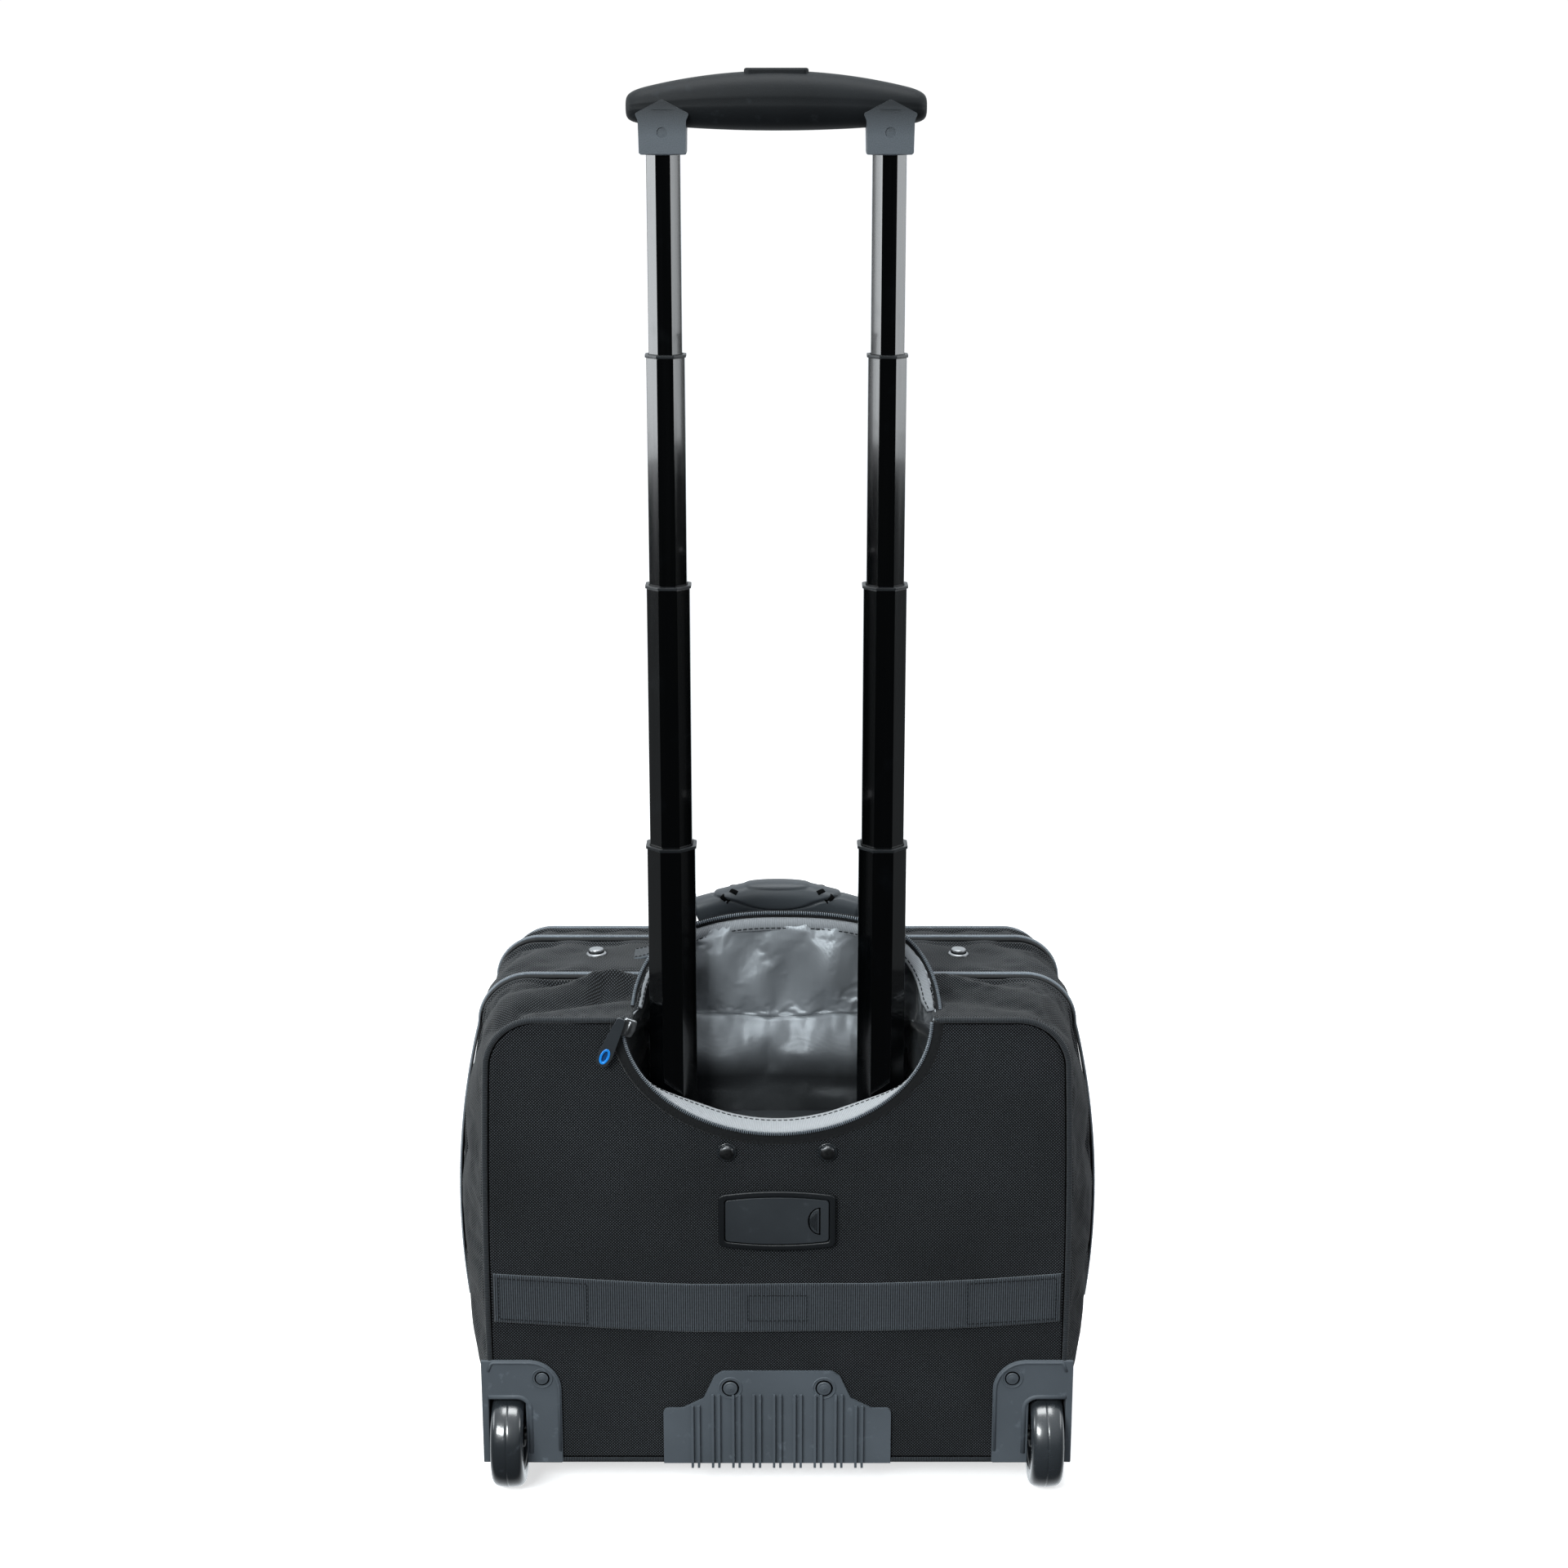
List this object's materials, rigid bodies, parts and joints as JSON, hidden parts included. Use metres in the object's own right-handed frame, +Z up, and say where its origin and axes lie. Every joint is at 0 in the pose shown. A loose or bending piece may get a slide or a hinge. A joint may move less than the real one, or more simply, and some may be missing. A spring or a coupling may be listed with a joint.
{
  "type": "wheeled trolley case",
  "caption": "Soft black wheeled trolley case with a telescopic pull handle, zipped handle flap, hinged front compartment, carry handle, tag holder, corner wheels and kick plate.",
  "frame": {"origin": "on the floor, in the middle of the whole object's footprint", "axes": "+Z up; the trolley side with the wheels faces -Y and the front compartment +Y; +X is to the right when looking at the trolley side"},
  "size_m": [0.4748, 0.239, 1.017],
  "materials": {
    "ballistic_fabric": "black ballistic weave with a light fleck",
    "lining_satin": "silver-grey satin lining",
    "webbing": "black grosgrain webbing",
    "zipper_tape": "black zipper tape with a moulded coil",
    "stiffener": "hidden stiffening board",
    "tube_black": "gloss black tube",
    "moulded_plastic": "fine-grained matte moulding",
    "inner_plastic": "black moulding",
    "grip_plastic": "soft-touch black moulding",
    "handle_rubber": "dark moulded rubber",
    "tyre_rubber": "glossy black polyurethane",
    "hub_plastic": "gloss black moulding",
    "steel": "plain steel",
    "chrome": "bright chrome",
    "gunmetal": "black chrome",
    "ring_blue": "bright blue rubber"
  },
  "bodies": {
    "case": {"back_panel": "ballistic_fabric", "back_board": "stiffener", "back_piping": "ballistic_fabric", "rear_gusset": "ballistic_fabric", "middle_gusset": "ballistic_fabric", "divider_panel": "lining_satin", "compartment_zipper": "zipper_tape", "main_zipper": "zipper_tape", "opening_zipper": "zipper_tape", "handle_well_lining": "lining_satin", "outer_tube_left": "tube_black", "outer_tube_right": "tube_black", "outer_collars": "inner_plastic", "base_bracket": "inner_plastic", "upper_bracket": "inner_plastic", "back_studs": "gunmetal", "top_studs": "gunmetal", "wheel_guard_left": "moulded_plastic", "wheel_guard_right": "moulded_plastic", "wheel_axles": "steel", "kick_plate": "moulded_plastic", "panel_rivets": "gunmetal", "webbing_band": "webbing", "tag_frame": "handle_rubber", "opening_slider": "gunmetal", "handle_pins": "chrome", "handle_anchors": "webbing", "front_feet": "moulded_plastic"},
    "flap": {"flap": "lining_satin"},
    "lower_stage": {"lower_tube_left": "tube_black", "lower_tube_right": "tube_black", "lower_collars": "inner_plastic", "lower_lock_blocks": "inner_plastic"},
    "middle_stage": {"middle_tube_left": "tube_black", "middle_tube_right": "tube_black", "middle_collars": "inner_plastic", "middle_lock_blocks": "inner_plastic"},
    "upper_stage": {"upper_tube_left": "tube_black", "upper_tube_right": "tube_black", "upper_collars": "inner_plastic", "upper_lock_blocks": "inner_plastic"},
    "grip": {"grip_tube_left": "tube_black", "grip_tube_right": "tube_black", "grip_tube_lock_blocks": "inner_plastic", "grip_upper_shell": "grip_plastic", "grip_lower_shell": "grip_plastic", "grip_screws": "gunmetal"},
    "button": {"release_button": "grip_plastic"},
    "left_wheel": {"tyre_left": "tyre_rubber", "hub_left": "hub_plastic"},
    "right_wheel": {"tyre_right": "tyre_rubber", "hub_right": "hub_plastic"},
    "tag_lid": {"tag_cover": "handle_rubber"},
    "pull_tab": {"zip_pull": "gunmetal", "pull_ring": "ring_blue"},
    "carry_grip": {"carry_handle": "handle_rubber"},
    "front_compartment": {"front_lid": "ballistic_fabric", "pocket_panel": "ballistic_fabric", "pocket_zipper": "zipper_tape"}
  },
  "joints": [
    {"name": "lower_stage_slide", "type": "slide", "parent": "case", "child": "lower_stage", "axis": [0, 0, 1], "range_m": [-0.204, 0]},
    {"name": "middle_stage_slide", "type": "slide", "parent": "lower_stage", "child": "middle_stage", "axis": [0, 0, 1], "range_m": [-0.183, 0]},
    {"name": "upper_stage_slide", "type": "slide", "parent": "middle_stage", "child": "upper_stage", "axis": [0, 0, 1], "range_m": [-0.154, 0]},
    {"name": "grip_slide", "type": "slide", "parent": "upper_stage", "child": "grip", "axis": [0, 0, 1], "range_m": [-0.129, 0]},
    {"name": "release_button_press", "type": "slide", "parent": "grip", "child": "button", "axis": [0, 0, 1], "range_m": [-0.003, 0], "stiffness_N_per_m": 300, "springref_m": 0.003},
    {"name": "left_wheel_spin", "type": "hinge", "parent": "case", "child": "left_wheel", "pos_m": [-0.198, -0.082, 0.0375], "axis": [1, 0, 0], "continuous": true},
    {"name": "right_wheel_spin", "type": "hinge", "parent": "case", "child": "right_wheel", "pos_m": [0.198, -0.082, 0.0375], "axis": [1, 0, 0], "continuous": true},
    {"name": "flap_swing", "type": "hinge", "parent": "case", "child": "flap", "pos_m": [0, -0.036, 0.353], "axis": [1, 0, 0], "range_deg": [-45, 5]},
    {"name": "tag_cover_open", "type": "hinge", "parent": "case", "child": "tag_lid", "pos_m": [-0.0375, -0.1004, 0.2185], "axis": [0, 0, -1], "range_deg": [0, 110]},
    {"name": "pull_tab_lift", "type": "hinge", "parent": "case", "child": "pull_tab", "pos_m": [-0.1093, -0.1028, 0.373], "axis": [-0.9135, 0, 0.4067], "range_deg": [0, 100]},
    {"name": "carry_handle_tilt", "type": "hinge", "parent": "case", "child": "carry_grip", "pos_m": [0, 0.04, 0.408], "axis": [1, 0, 0], "range_deg": [-85, 20]},
    {"name": "front_compartment_open", "type": "hinge", "parent": "case", "child": "front_compartment", "pos_m": [0, 0.0784, 0.027], "axis": [-1, 0, 0], "range_deg": [0, 70]}
  ]
}
